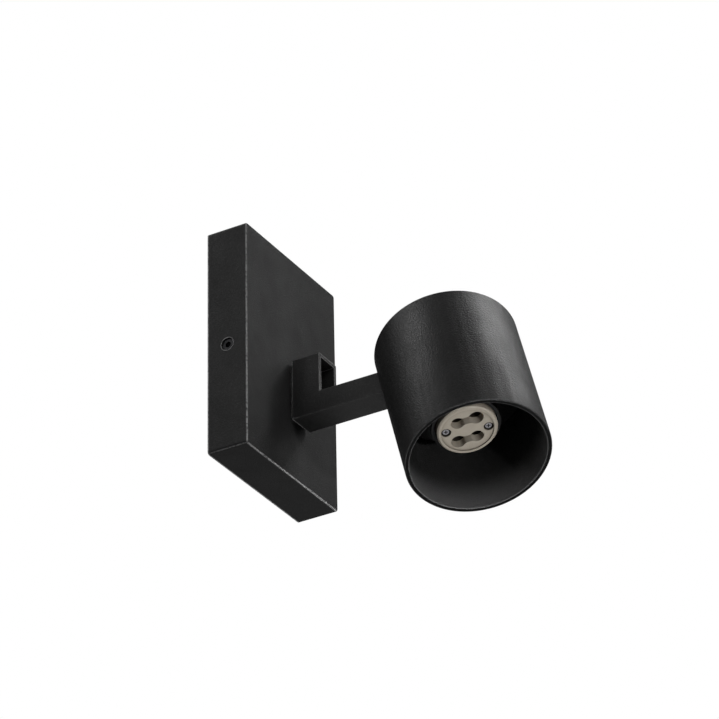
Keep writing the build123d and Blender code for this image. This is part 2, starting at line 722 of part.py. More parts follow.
with BuildPart() as lampholder_face:
    with BuildSketch(holder_plane(holder_sink)):
        Circle(holder_radius)
    extrude(amount=face_thickness)
    chamfer(lampholder_face.edges().sort_by(lambda edge: edge.center().dot(up_dir))[0],
            face_rim_height)
    with BuildSketch(holder_plane(holder_sink)):
        Circle(holder_radius - face_rim_width)
    extrude(amount=face_rim_height, mode=Mode.SUBTRACT)
    for half_turn in (0, 1):
        with BuildSketch(socket_plane(holder_sink, half_turn)) as slot:
            with Locations((large_end, keyhole_middle)):
                Circle(keyhole_large_radius)
            with Locations((small_end, keyhole_middle)):
                Circle(keyhole_small_radius)
            with Locations((-keyhole_shift, keyhole_middle)):
                Rectangle(keyhole_reach, keyhole_waist)
            fillet(slot.vertices().filter_by(waist_corner), keyhole_blend_radius)
        extrude(amount=face_thickness, mode=Mode.SUBTRACT)
    with BuildSketch(holder_plane(holder_sink)):
        with PolarLocations(holder_screw_pitch / 2, 2, start_angle=screw_turn):
            Circle(holder_screw_radius)
    extrude(amount=face_thickness, mode=Mode.SUBTRACT)
    with BuildSketch(holder_plane(holder_sink)):
        with PolarLocations(holder_screw_pitch / 2, 2, start_angle=screw_turn):
            Circle(holder_screw_head_radius + holder_screw_head_play)
    extrude(amount=holder_screw_sink + holder_screw_head_height, mode=Mode.SUBTRACT)
lampholder_face.part.label = "lampholder_face"

with BuildPart() as lampholder_body:
    with BuildSketch(holder_plane(body_bottom)):
        Circle(holder_radius)
        with PolarLocations(holder_screw_pitch / 2, 2, start_angle=screw_turn):
            Circle(holder_screw_radius, mode=Mode.SUBTRACT)
    extrude(amount=holder_length - face_thickness)
    for half_turn in (0, 1):
        with BuildSketch(socket_plane(body_bottom, half_turn)):
            with Locations(((pocket_start + pocket_end) / 2, keyhole_middle)):
                Rectangle(pocket_end - pocket_start, pocket_width)
        extrude(amount=contact_pocket_depth, mode=Mode.SUBTRACT)
        with BuildSketch(socket_plane(body_bottom + contact_pocket_depth, half_turn)):
            with Locations((0, keyhole_middle)):
                Rectangle(lead_hole_width, lead_hole_width)
        extrude(amount=holder_length, mode=Mode.SUBTRACT)
lampholder_body.part.label = "lampholder_body"

# ---- Spring contacts in the lampholder's pockets ----
clip_floor = body_bottom + contact_pocket_depth
clip_side = (keyhole_waist - clip_thickness) / 2
with BuildPart() as contact_clips:
    for half_turn in (0, 1):
        with BuildSketch(socket_plane(clip_floor - clip_thickness, half_turn)):
            with Locations((-keyhole_shift, keyhole_middle)):
                Rectangle(keyhole_reach, keyhole_waist)
        extrude(amount=clip_thickness)
        with BuildSketch(socket_plane(body_bottom + clip_set_back, half_turn)):
            for hand in (-1, 1):
                with Locations((-keyhole_shift, keyhole_middle + hand * clip_side)):
                    Rectangle(keyhole_reach, clip_thickness)
        extrude(amount=contact_pocket_depth - clip_set_back)
contact_clips.part.label = "contact_clips"

# ---- Screws through the lampholder into the baffle ----
holder_screw_top = holder_sink + holder_screw_sink
holder_screw_neck = holder_screw_top + holder_screw_head_height
with BuildPart() as lampholder_screws:
    with BuildSketch(holder_plane(holder_screw_top)):
        with PolarLocations(holder_screw_pitch / 2, 2, start_angle=screw_turn):
            Circle(holder_screw_head_radius)
    extrude(amount=holder_screw_head_height)
    with BuildSketch(holder_plane(holder_screw_neck)):
        with PolarLocations(holder_screw_pitch / 2, 2, start_angle=screw_turn):
            Circle(holder_screw_radius - holder_screw_play)
    extrude(amount=baffle_height + baffle_thickness - holder_screw_neck)
    with BuildSketch(holder_plane(holder_screw_top)):
        with PolarLocations(holder_screw_pitch / 2, 2, start_angle=screw_turn):
            Rectangle(holder_recess_length, holder_recess_width)
            Rectangle(holder_recess_width, holder_recess_length)
    extrude(amount=holder_recess_depth, mode=Mode.SUBTRACT)
lampholder_screws.part.label = "lampholder_screws"

# ---- Write one file for each piece ----
pieces = [
    canopy_cover, wall_bracket, side_screws, cable_grommet, terminal_block, terminal_screws,
    terminal_fixing_screw, earth_washer, earth_screw, spacer_washer, arm_bracket,
    threaded_nipple, nipple_lock_washer, nipple_nut, pivot_yoke, swivel_washer,
    swivel_lock_screw, head_tube, head_cap, hinge_screw, hinge_nut, hinge_washers,
    inner_baffle, baffle_screws, holder_cup, lampholder_face, lampholder_body,
    contact_clips, lampholder_screws,
]
os.makedirs("parts", exist_ok=True)
for piece in pieces:
    export_step(piece.part, f"parts/{piece.part.label}.step")
print("pieces", len(pieces), "pivot", pivot, "rim centre", rim_centre)
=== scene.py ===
# %% [markdown]
# # A pivoting spotlight wall light
#
# A shallow black canopy is screwed to the wall. An L-shaped bracket with a bar arm stands on it,
# and a round head turns and tips at the arm's end. Inside the head sits a grey ceramic
# lampholder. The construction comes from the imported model, so this script only adds the finish
# of each piece, the small repeating details, the light and the camera.

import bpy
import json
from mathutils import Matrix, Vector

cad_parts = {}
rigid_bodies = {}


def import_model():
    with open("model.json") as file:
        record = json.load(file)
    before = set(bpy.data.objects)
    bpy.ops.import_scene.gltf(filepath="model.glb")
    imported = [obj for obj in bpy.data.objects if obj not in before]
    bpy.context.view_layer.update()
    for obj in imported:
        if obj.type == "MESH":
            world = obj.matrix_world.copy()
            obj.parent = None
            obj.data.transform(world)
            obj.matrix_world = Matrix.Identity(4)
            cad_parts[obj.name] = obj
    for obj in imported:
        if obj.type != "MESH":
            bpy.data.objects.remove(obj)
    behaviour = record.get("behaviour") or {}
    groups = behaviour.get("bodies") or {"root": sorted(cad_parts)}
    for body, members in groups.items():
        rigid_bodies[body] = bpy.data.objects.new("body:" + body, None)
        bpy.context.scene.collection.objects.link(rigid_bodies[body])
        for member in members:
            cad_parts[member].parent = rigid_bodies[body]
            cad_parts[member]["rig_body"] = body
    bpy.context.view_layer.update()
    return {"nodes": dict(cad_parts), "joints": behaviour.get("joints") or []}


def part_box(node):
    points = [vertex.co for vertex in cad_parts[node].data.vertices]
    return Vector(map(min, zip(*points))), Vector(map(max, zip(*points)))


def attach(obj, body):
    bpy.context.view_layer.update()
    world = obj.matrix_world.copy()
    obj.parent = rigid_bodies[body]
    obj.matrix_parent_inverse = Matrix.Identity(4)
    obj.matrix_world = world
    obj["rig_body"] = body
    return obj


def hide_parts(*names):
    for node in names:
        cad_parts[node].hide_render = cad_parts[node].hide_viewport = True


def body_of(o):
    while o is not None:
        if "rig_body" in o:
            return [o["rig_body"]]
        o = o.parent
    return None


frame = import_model()
nodes = frame["nodes"]

# %% [markdown]
# ## Where things are
#
# The head is stored turned about the arm and tipped outwards, so anything made for it needs its
# own directions. The tilt joint gives the hinge pin's direction, and the head's axis is square to
# it. The lampholder's face and the cup behind it are both even about one line that runs the same
# way, so their middles give its direction. The tube's lowest points give the middle of its rim.

# %% The head's own directions
import json
import math

import bmesh
import bpy
from mathutils import Matrix, Vector

joints = {joint["name"]: joint for joint in frame["joints"]}
side_dir = -Vector(joints["head_tilt"]["axis"])
rim_band = 0.0001


def mesh_centre(node):
    """Middle of a node's own points, which lies on the axis of an even, round piece."""
    points = [vertex.co for vertex in nodes[node].data.vertices]
    return sum(points, Vector()) / len(points)


up_dir = mesh_centre("holder_cup") - mesh_centre("lampholder_face")
up_dir -= side_dir * up_dir.dot(side_dir)
up_dir.normalize()
tube_points = [vertex.co for vertex in nodes["head_tube"].data.vertices]
rim_level = min(point.dot(up_dir) for point in tube_points)
rim_points = [point for point in tube_points if point.dot(up_dir) < rim_level + rim_band]
rim_centre = sum(rim_points, Vector()) / len(rim_points)
print("head axis", [round(v, 3) for v in up_dir], "hinge pin", [round(v, 3) for v in side_dir])
print("rim centre", [round(v, 4) for v in rim_centre])

# %% [markdown]
# ## Camera
#
# The photograph looks up at the light from its left. A long lens far away keeps the perspective
# as slight as it is there. The camera looks at one point on the light, from an azimuth and an
# elevation, with a small roll.

# %% Place the camera
view_azimuth = math.radians(-60.2)
view_elevation = math.radians(-29.85)
view_roll = math.radians(-1.23)
view_distance = 1.669
view_target = Vector((0.01303, -0.04393, 0.00228))
lens_mm = 200.3

camera_data = bpy.data.cameras.new("photo_camera")
camera = bpy.data.objects.new("photo_camera", camera_data)
bpy.context.scene.collection.objects.link(camera)
bpy.context.scene.camera = camera
away = Vector((math.sin(view_azimuth) * math.cos(view_elevation),
               -math.cos(view_azimuth) * math.cos(view_elevation),
               math.sin(view_elevation)))
camera.location = view_target + away * view_distance
turn = (-away).to_track_quat("-Z", "Y").to_matrix() @ Matrix.Rotation(view_roll, 3, "Z")
camera.rotation_euler = turn.to_euler()
camera_data.lens = lens_mm
camera_data.sensor_width = 36.0
camera_data.clip_start = 0.05
camera_data.clip_end = 20.0
print("camera at", [round(v, 3) for v in camera.location])

# %% [markdown]
# ## Studio light
#
# The object is black on white. Camera and see-through rays meet plain white, while every other
# ray, reflections too, meets a dim, level grey that keeps the black coat black. Soft lamps then
# draw the highlights. Each is placed where its reflection in one surface goes to the camera: the
# key lamp's runs down the right of the round head, the left lamp's down its left, the front
# lamp's lies on the canopy, the edge lamp's is a thin line on the canopy's nearest edge, and the
# arm lamp's lies on the bracket's side. A narrow spot looks into the head's mouth.

# %% World and lamps
fill_level = 0.19
world = bpy.data.worlds.new("white_surround")
bpy.context.scene.world = world
world.use_nodes = True
tree = world.node_tree
tree.nodes.clear()
surround = tree.nodes.new("ShaderNodeOutputWorld")
background = tree.nodes.new("ShaderNodeBackground")
background.inputs["Color"].default_value = (1.0, 1.0, 1.0, 1.0)
path = tree.nodes.new("ShaderNodeLightPath")
seen = tree.nodes.new("ShaderNodeMath")
seen.operation = "MAXIMUM"
level = tree.nodes.new("ShaderNodeMapRange")
level.inputs["To Min"].default_value = fill_level
level.inputs["To Max"].default_value = 1.0
tree.links.new(path.outputs["Is Camera Ray"], seen.inputs[0])
tree.links.new(path.outputs["Is Transmission Ray"], seen.inputs[1])
tree.links.new(seen.outputs[0], level.inputs["Value"])
tree.links.new(level.outputs["Result"], background.inputs["Strength"])
tree.links.new(background.outputs[0], surround.inputs["Surface"])


def aim(lamp, target, azimuth, elevation, distance):
    """Puts a lamp at an azimuth and an elevation in degrees, looking at the target."""
    bpy.context.scene.collection.objects.link(lamp)
    a, e = math.radians(azimuth), math.radians(elevation)
    out = Vector((math.sin(a) * math.cos(e), -math.cos(a) * math.cos(e), math.sin(e)))
    lamp.location = target + out * distance
    lamp.rotation_euler = (-out).to_track_quat("-Z", "Y").to_euler()


def soft_lamp(name, azimuth, elevation, width, height, watts):
    """A rectangular lamp that looks at the light fitting from lamp_distance."""
    data = bpy.data.lights.new(name, "AREA")
    data.shape = "RECTANGLE"
    data.size = width
    data.size_y = height
    data.energy = watts
    aim(bpy.data.objects.new(name, data), view_target, azimuth, elevation, lamp_distance)


def narrow_lamp(name, target, azimuth, elevation, cone, watts):
    """A spot with a soft-edged cone, given in degrees."""
    data = bpy.data.lights.new(name, "SPOT")
    data.spot_size = math.radians(cone)
    data.spot_blend = 0.6
    data.shadow_soft_size = 0.05
    data.energy = watts
    aim(bpy.data.objects.new(name, data), target, azimuth, elevation, lamp_distance)


lamp_distance = 1.5
soft_lamp("key_lamp", 48, 57, 0.24, 0.9, 9)
soft_lamp("left_lamp", -148, 48, 0.22, 0.9, 4.2)
soft_lamp("front_lamp", 59, 30, 0.6, 0.6, 0.35)
soft_lamp("edge_lamp", -30, 30, 0.15, 0.5, 2.5)
soft_lamp("arm_lamp", -100, 22, 0.3, 0.3, 1.2)
narrow_lamp("mouth_lamp", rim_centre, -22, -32, 2.8, 185)
print("fill", fill_level, "lamps", {lamp.name: round(lamp.energy, 2) for lamp in bpy.data.lights})

# %% [markdown]
# The floor is a pale plane well below the lamp, as a real floor is below a wall light. It only
# shows in the views from above, where a glow that only the camera sees keeps it pale.

# %% Floor
floor_drop = 1.15
floor_half = 6.0
floor_glow = 0.6
floor_mesh = bpy.data.meshes.new("floor")
floor_mesh.from_pydata(
    [(-floor_half, -floor_half, -floor_drop), (floor_half, -floor_half, -floor_drop),
     (floor_half, floor_half, -floor_drop), (-floor_half, floor_half, -floor_drop)],
    [], [(0, 1, 2, 3)])
floor = bpy.data.objects.new("floor", floor_mesh)
bpy.context.scene.collection.objects.link(floor)
floor_paint = bpy.data.materials.new("floor_paint")
floor_paint.use_nodes = True
floor_shader = floor_paint.node_tree.nodes["Principled BSDF"]
floor_shader.inputs["Base Color"].default_value = (0.9, 0.9, 0.9, 1)
floor_shader.inputs["Roughness"].default_value = 0.8
floor_shader.inputs["Emission Color"].default_value = (1, 1, 1, 1)
floor_path = floor_paint.node_tree.nodes.new("ShaderNodeLightPath")
glow = floor_paint.node_tree.nodes.new("ShaderNodeMath")
glow.operation = "MULTIPLY"
glow.inputs[1].default_value = floor_glow
floor_paint.node_tree.links.new(floor_path.outputs["Is Camera Ray"], glow.inputs[0])
floor_paint.node_tree.links.new(glow.outputs[0], floor_shader.inputs["Emission Strength"])
floor_mesh.materials.append(floor_paint)
print("floor", floor_drop, "m below the light,", 2 * floor_half, "m wide")

# %% [markdown]
# ## Helpers for materials
#
# Node trees are easier to read when each step is one line, so two small helpers add a node and
# make a group with named sockets. A group is built once and placed in each finish that needs it.

# %% Node helpers


def add_node(tree, kind, **settings):
    """A new node with its plain settings."""
    node = tree.nodes.new(kind)
    for name, value in settings.items():
        setattr(node, name, value)
    return node


def number(tree, operation, first, second, clamp=False):
    """A Math node. Each of its two inputs is a socket or a plain number."""
    node = add_node(tree, "ShaderNodeMath", operation=operation, use_clamp=clamp)
    for socket, value in zip(node.inputs, (first, second)):
        if isinstance(value, bpy.types.NodeSocket):
            tree.links.new(value, socket)
        else:
            socket.default_value = value
    return node.outputs[0]


def new_group(name, inputs, outputs):
    """A shader node group with named sockets, and its two end nodes."""
    group = bpy.data.node_groups.new(name, "ShaderNodeTree")
    for title, kind, value in inputs:
        socket = group.interface.new_socket(title, in_out="INPUT", socket_type="NodeSocket" + kind)
        if value is not None:
            socket.default_value = value
    for title, kind in outputs:
        group.interface.new_socket(title, in_out="OUTPUT", socket_type="NodeSocket" + kind)
    return group, add_node(group, "NodeGroupInput"), add_node(group, "NodeGroupOutput")


print("helpers", [helper.__name__ for helper in (add_node, number, new_group)])

# %% [markdown]
# ## Surface effects
#
# Powder coat is melted plastic dust. It dries with a fine, leathery skin: rounded pebbles with
# creases between them, a few flecks that catch the light, and slow waves where the film is
# thicker. A Voronoi pattern whose place is stirred by a noise gives the pebbles, finer noise
# roughens them, the flecks are the tops of that noise, and a slow noise gives the waves.

# %% Pebbled skin
stir_reach = 0.0006
pebble_skin, start, end = new_group(
    "pebbled_skin",
    [("Vector", "Vector", None), ("Pebbles per Metre", "Float", 1500.0),
     ("Waves per Metre", "Float", 90.0)],
    [("Height", "Float"), ("Fleck", "Float"), ("Wave", "Float")])
grain = add_node(pebble_skin, "ShaderNodeTexNoise", noise_dimensions="3D")
grain.inputs["Detail"].default_value = 3.0
grain.inputs["Roughness"].default_value = 0.6
waves = add_node(pebble_skin, "ShaderNodeTexNoise", noise_dimensions="3D")
waves.inputs["Detail"].default_value = 3.0
cells = add_node(pebble_skin, "ShaderNodeTexVoronoi", feature="SMOOTH_F1")
cells.inputs["Smoothness"].default_value = 0.35
for node, title, share in ((grain, "Pebbles per Metre", 1.3), (cells, "Pebbles per Metre", 1.0),
                           (waves, "Waves per Metre", 1.0)):
    scale = number(pebble_skin, "MULTIPLY", start.outputs[title], share)
    pebble_skin.links.new(scale, node.inputs["Scale"])
    if node is not cells:
        pebble_skin.links.new(start.outputs["Vector"], node.inputs["Vector"])
stir = add_node(pebble_skin, "ShaderNodeVectorMath", operation="MULTIPLY_ADD")
stir.inputs[1].default_value = (stir_reach, stir_reach, stir_reach)
pebble_skin.links.new(grain.outputs["Color"], stir.inputs[0])
pebble_skin.links.new(start.outputs["Vector"], stir.inputs[2])
pebble_skin.links.new(stir.outputs[0], cells.inputs["Vector"])
roughened = number(pebble_skin, "MULTIPLY", grain.outputs["Fac"], 0.7)
height = number(pebble_skin, "SUBTRACT", roughened, cells.outputs["Distance"])
fleck = add_node(pebble_skin, "ShaderNodeMapRange", clamp=True)
fleck.inputs["From Min"].default_value = 0.54
fleck.inputs["From Max"].default_value = 0.68
pebble_skin.links.new(grain.outputs["Fac"], fleck.inputs["Value"])
pebble_skin.links.new(height, end.inputs["Height"])
pebble_skin.links.new(fleck.outputs["Result"], end.inputs["Fleck"])
pebble_skin.links.new(waves.outputs["Fac"], end.inputs["Wave"])
print(pebble_skin.name, "nodes", len(pebble_skin.nodes))

# %% [markdown]
# Edges get a painted highlight: the coat is painted lighter in a thin line along each edge, where a
# lit edge would shine. A Bevel node gives the normal that a rounded edge would have. Where it leaves
# the true normal there is an edge, and a noise breaks that line up.

# %% Edge mask
painted_edge_highlight, start, end = new_group(
    "painted_edge_highlight",
    [("Vector", "Vector", None), ("Radius", "Float", 0.0006), ("Gain", "Float", 6.0)],
    [("Mask", "Float")])
rounded = add_node(painted_edge_highlight, "ShaderNodeBevel", samples=6)
true_normal = add_node(painted_edge_highlight, "ShaderNodeNewGeometry")
agree = add_node(painted_edge_highlight, "ShaderNodeVectorMath", operation="DOT_PRODUCT")
breaks = add_node(painted_edge_highlight, "ShaderNodeTexNoise", noise_dimensions="3D")
breaks.inputs["Scale"].default_value = 900.0
painted_edge_highlight.links.new(start.outputs["Radius"], rounded.inputs["Radius"])
painted_edge_highlight.links.new(rounded.outputs["Normal"], agree.inputs[0])
painted_edge_highlight.links.new(true_normal.outputs["Normal"], agree.inputs[1])
painted_edge_highlight.links.new(start.outputs["Vector"], breaks.inputs["Vector"])
turned = number(painted_edge_highlight, "SUBTRACT", 1.0, agree.outputs["Value"])
gained = number(painted_edge_highlight, "MULTIPLY", turned, start.outputs["Gain"], clamp=True)
mask = number(painted_edge_highlight, "MULTIPLY", gained,
              number(painted_edge_highlight, "ADD", breaks.outputs["Fac"], 0.3), clamp=True)
painted_edge_highlight.links.new(mask, end.inputs["Mask"])
print(painted_edge_highlight.name, "nodes", len(painted_edge_highlight.nodes))

# %% [markdown]
# The canopy's long edges are already round, so no Bevel node finds them for the painted highlight.
# This mask comes from the piece's box instead: a point near two of its faces at once lies on an
# edge.

# %% Mask of a box's edges
box_edge_highlight, start, end = new_group(
    "box_edge_highlight",
    [("Vector", "Vector", None), ("Low", "Vector", None), ("High", "Vector", None),
     ("Width", "Float", 0.0008)],
    [("Mask", "Float")])
from_low = add_node(box_edge_highlight, "ShaderNodeVectorMath", operation="SUBTRACT")
from_high = add_node(box_edge_highlight, "ShaderNodeVectorMath", operation="SUBTRACT")
nearest = add_node(box_edge_highlight, "ShaderNodeVectorMath", operation="MINIMUM")
box_edge_highlight.links.new(start.outputs["Vector"], from_low.inputs[0])
box_edge_highlight.links.new(start.outputs["Low"], from_low.inputs[1])
box_edge_highlight.links.new(start.outputs["High"], from_high.inputs[0])
box_edge_highlight.links.new(start.outputs["Vector"], from_high.inputs[1])
box_edge_highlight.links.new(from_low.outputs[0], nearest.inputs[0])
box_edge_highlight.links.new(from_high.outputs[0], nearest.inputs[1])
parts = add_node(box_edge_highlight, "ShaderNodeSeparateXYZ")
box_edge_highlight.links.new(nearest.outputs[0], parts.inputs[0])
near = []
for part in parts.outputs:
    falloff = add_node(box_edge_highlight, "ShaderNodeMapRange", interpolation_type="SMOOTHSTEP")
    falloff.inputs["To Min"].default_value = 1.0
    falloff.inputs["To Max"].default_value = 0.0
    box_edge_highlight.links.new(part, falloff.inputs["Value"])
    box_edge_highlight.links.new(start.outputs["Width"], falloff.inputs["From Max"])
    near.append(falloff.outputs["Result"])
across = number(box_edge_highlight, "MULTIPLY", near[0], near[1])
for first, second in ((near[1], near[2]), (near[0], near[2])):
    across = number(box_edge_highlight, "MAXIMUM", across, number(box_edge_highlight, "MULTIPLY", first, second))
# A noise breaks the painted highlight line into patches.
patchiness = add_node(box_edge_highlight, "ShaderNodeTexNoise", noise_dimensions="3D")
patchiness.inputs["Scale"].default_value = 1100.0
box_edge_highlight.links.new(start.outputs["Vector"], patchiness.inputs["Vector"])
patchy = add_node(box_edge_highlight, "ShaderNodeMapRange", clamp=True)
patchy.inputs["From Min"].default_value = 0.2
patchy.inputs["From Max"].default_value = 0.55
box_edge_highlight.links.new(patchiness.outputs["Fac"], patchy.inputs["Value"])
broken_line = number(box_edge_highlight, "MULTIPLY", across, patchy.outputs["Result"])
box_edge_highlight.links.new(broken_line, end.inputs["Mask"])
print(box_edge_highlight.name, "nodes", len(box_edge_highlight.nodes))

# %% [markdown]
# Some painted light and shade follow the shape: the bore gets painted light that is palest at its
# rim, and a sunk screw gets a dark ring of painted shadow round it. Both need a point's place along
# and away from an axis.

# %% Place along and away from an axis
from_axis, start, end = new_group(
    "from_axis",
    [("Vector", "Vector", None), ("Point", "Vector", None), ("Axis", "Vector", None)],
    [("Along", "Float"), ("Away", "Float")])
reach = add_node(from_axis, "ShaderNodeVectorMath", operation="SUBTRACT")
along = add_node(from_axis, "ShaderNodeVectorMath", operation="DOT_PRODUCT")
foot = add_node(from_axis, "ShaderNodeVectorMath", operation="SCALE")
aside = add_node(from_axis, "ShaderNodeVectorMath", operation="DISTANCE")
from_axis.links.new(start.outputs["Vector"], reach.inputs[0])
from_axis.links.new(start.outputs["Point"], reach.inputs[1])
from_axis.links.new(reach.outputs[0], along.inputs[0])
from_axis.links.new(start.outputs["Axis"], along.inputs[1])
from_axis.links.new(start.outputs["Axis"], foot.inputs[0])
from_axis.links.new(along.outputs["Value"], foot.inputs["Scale"])
from_axis.links.new(reach.outputs[0], aside.inputs[0])
from_axis.links.new(foot.outputs[0], aside.inputs[1])
from_axis.links.new(along.outputs["Value"], end.inputs["Along"])
from_axis.links.new(aside.outputs["Value"], end.inputs["Away"])

screw_points = [vertex.co for vertex in nodes["lampholder_screws"].data.vertices]
screw_middle = sum(screw_points, Vector()) / len(screw_points)
screw_line = max((point - screw_middle for point in screw_points),
                 key=lambda gap: (gap - up_dir * gap.dot(up_dir)).length)
screw_line -= up_dir * screw_line.dot(up_dir)
screw_axes = []
for hand in (-1, 1):
    own = [point for point in screw_points if (point - screw_middle).dot(screw_line) * hand > 0]
    screw_axes.append(sum(own, Vector()) / len(own))
# Radii of the painted shadow ring round the screws, and of the screw heads' unshaded top.
screw_hole_edge, screw_hole_clear = 0.00200, 0.00212
screw_head_edge, screw_head_inner = 0.00142, 0.00122
print("screw pitch mm", round((screw_axes[0] - screw_axes[1]).length * 1000, 2))

# %% [markdown]
# ## Finishes
#
# Every finish starts from the same few steps: the piece's own coordinates go into an effect
# group, its masks mix the colours and its height goes into a Bump node. The shader stays in the
# material itself, and what is the same all over is set on its sockets.

# %% Start of a finish


def new_finish(name, **settings):
    """A material with its default tree, its shader and the piece's own coordinates."""
    material = bpy.data.materials.new(name)
    material.use_nodes = True
    tree = material.node_tree
    shader = tree.nodes["Principled BSDF"]
    for socket, value in settings.items():
        shader.inputs[socket.replace("_", " ")].default_value = value
    coordinates = add_node(tree, "ShaderNodeTexCoord")
    return material, tree, shader, coordinates.outputs["Object"]


def place_group(tree, group, vector, **values):
    """A group placed in a finish with its own values."""
    node = add_node(tree, "ShaderNodeGroup", node_tree=group)
    tree.links.new(vector, node.inputs["Vector"])
    for title, value in values.items():
        node.inputs[title.replace("_", " ")].default_value = value
    return node


def mix_colour(tree, factor, first, second):
    """A colour mix. Each colour is a socket or a tuple of three numbers."""
    node = add_node(tree, "ShaderNodeMix", data_type="RGBA")
    # A Mix node's colour sockets are inputs 6 and 7 and output 2, and its factor is input 0.
    tree.links.new(factor, node.inputs[0])
    for socket, value in ((node.inputs[6], first), (node.inputs[7], second)):
        if isinstance(value, bpy.types.NodeSocket):
            tree.links.new(value, socket)
        else:
            socket.default_value = (*value, 1.0)
    return node.outputs[2]


def ramp(tree, value, low, high):
    """A socket's value as 0 at low, 1 at high and a soft step between them."""
    node = add_node(tree, "ShaderNodeMapRange", interpolation_type="SMOOTHSTEP")
    node.inputs["From Min"].default_value = low
    node.inputs["From Max"].default_value = high
    tree.links.new(value, node.inputs["Value"])
    return node.outputs["Result"]


def from_screws(tree, place):
    """How far a point is from the nearer of the two lampholder screws' axes."""
    gaps = [place_group(tree, from_axis, place, Point=axis, Axis=up_dir).outputs["Away"]
            for axis in screw_axes]
    return number(tree, "MINIMUM", *gaps)


def add_bump(tree, shader, height, depth):
    """A Bump node from a height to the shader's normal. Depth is in metres."""
    bump = add_node(tree, "ShaderNodeBump")
    bump.inputs["Strength"].default_value = 1.0
    bump.inputs["Distance"].default_value = depth
    tree.links.new(height, bump.inputs["Height"])
    tree.links.new(bump.outputs["Normal"], shader.inputs["Normal"])


print("steps", [step.__name__ for step in (new_finish, place_group, mix_colour, ramp, add_bump)])

# %% [markdown]
# The black powder coat is on everything that shows from a step away. The head's is glossier than
# the canopy's, and its pebbles are a little larger.

# %% Powder coat


def powder_coat(name, dark, light, edge_highlight_colour, pebbles_per_metre, pebble_depth, roughness,
                sheen_level, edge_box=None, painted_rim_light=None):
    """Black powder coat: leathery skin, light flecks, slow waves in gloss, painted highlights on its
    edges and, if wanted, painted light towards a bore's rim.
    """
    material, tree, shader, place = new_finish(name, Specular_IOR_Level=sheen_level)
    skin = place_group(tree, pebble_skin, place, Pebbles_per_Metre=pebbles_per_metre)
    edge = place_group(tree, painted_edge_highlight, place, Radius=0.0005)
    highlight_mask = edge.outputs["Mask"]
    if edge_box:
        low, high = edge_box
        round_edge_highlight = place_group(tree, box_edge_highlight, place, Low=low, High=high)
        highlight_mask = number(tree, "MAXIMUM", highlight_mask, round_edge_highlight.outputs["Mask"])
    flecked = mix_colour(tree, skin.outputs["Fleck"], dark, light)
    # Painted light: the bore is painted paler towards its rim, where light falls into the mouth.
    if painted_rim_light:
        shade, rim_depth = painted_rim_light
        deep = place_group(tree, from_axis, place, Point=rim_centre, Axis=up_dir)
        flecked = mix_colour(tree, ramp(tree, deep.outputs["Along"], rim_depth, 0.0), flecked, shade)
    # Painted highlight: the edge mask lightens the coat along its edges.
    highlighted = mix_colour(tree, highlight_mask, flecked, edge_highlight_colour)
    tree.links.new(highlighted, shader.inputs["Base Color"])
    gloss = add_node(tree, "ShaderNodeMapRange", clamp=True)
    gloss.inputs["From Min"].default_value = 0.3
    gloss.inputs["From Max"].default_value = 0.7
    gloss.inputs["To Min"].default_value = roughness - 0.05
    gloss.inputs["To Max"].default_value = roughness + 0.05
    tree.links.new(skin.outputs["Wave"], gloss.inputs["Value"])
    tree.links.new(gloss.outputs["Result"], shader.inputs["Roughness"])
    add_bump(tree, shader, skin.outputs["Height"], pebble_depth)
    return material


coat_black = (0.008, 0.008, 0.008)
coat_fleck = (0.022, 0.022, 0.023)
# Painted highlight: the colour that the edges of each coat are lightened towards.
coat_edge_highlight = (0.60, 0.60, 0.60)
canopy_coat = powder_coat("canopy_powder_coat", coat_black, coat_fleck, coat_edge_highlight,
                          1700, 0.00006, 0.54, 0.27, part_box("canopy_cover"))
# Painted light: the bracket's copy of the black coat is painted paler, so its sides look lit.
lit_arm_coat = powder_coat("arm_powder_coat", (0.027, 0.027, 0.027), (0.055, 0.055, 0.055), coat_edge_highlight,
                       1700, 0.00006, 0.50, 0.42)
head_coat = powder_coat("head_powder_coat", coat_black, coat_fleck, coat_edge_highlight,
                        1500, 0.00009, 0.42, 0.3)
# Painted light: the inside of the head is a paler copy of the black coat, palest near the rim.
lit_inside_coat = powder_coat("inside_powder_coat", (0.010, 0.010, 0.010), (0.030, 0.030, 0.030),
                          coat_edge_highlight, 1500, 0.00012, 0.46, 0.35,
                          painted_rim_light=((0.075, 0.075, 0.076), 0.019))
# Painted shade: the rim's flat end is a darker, less glossy copy of the black coat.
shaded_rim_coat = powder_coat("rim_powder_coat", (0.002, 0.002, 0.002), (0.006, 0.006, 0.006), coat_edge_highlight,
                       1500, 0.00004, 0.6, 0.1)
# Painted shade: the parts deep in the head take a darker copy of the black coat, with only a faint
# painted edge highlight.
shaded_hidden_coat = powder_coat("hidden_powder_coat", (0.005, 0.005, 0.005), (0.012, 0.012, 0.012),
                          (0.03, 0.03, 0.03), 1500, 0.00005, 0.45, 0.3)
print("coats", [coat.name for coat in (canopy_coat, lit_arm_coat, head_coat, lit_inside_coat, shaded_rim_coat,
                                       shaded_hidden_coat)])

# %% [markdown]
# The lampholder is unglazed steatite, a warm grey ceramic that takes a faint mottle from its
# pressing. An Ambient Occlusion node paints shade into its corners, and a dark ring of painted
# shadow lies round each sunk screw. The body seen through the keyholes takes a darker copy of the
# same ceramic, painted shade.

# %% Ceramic


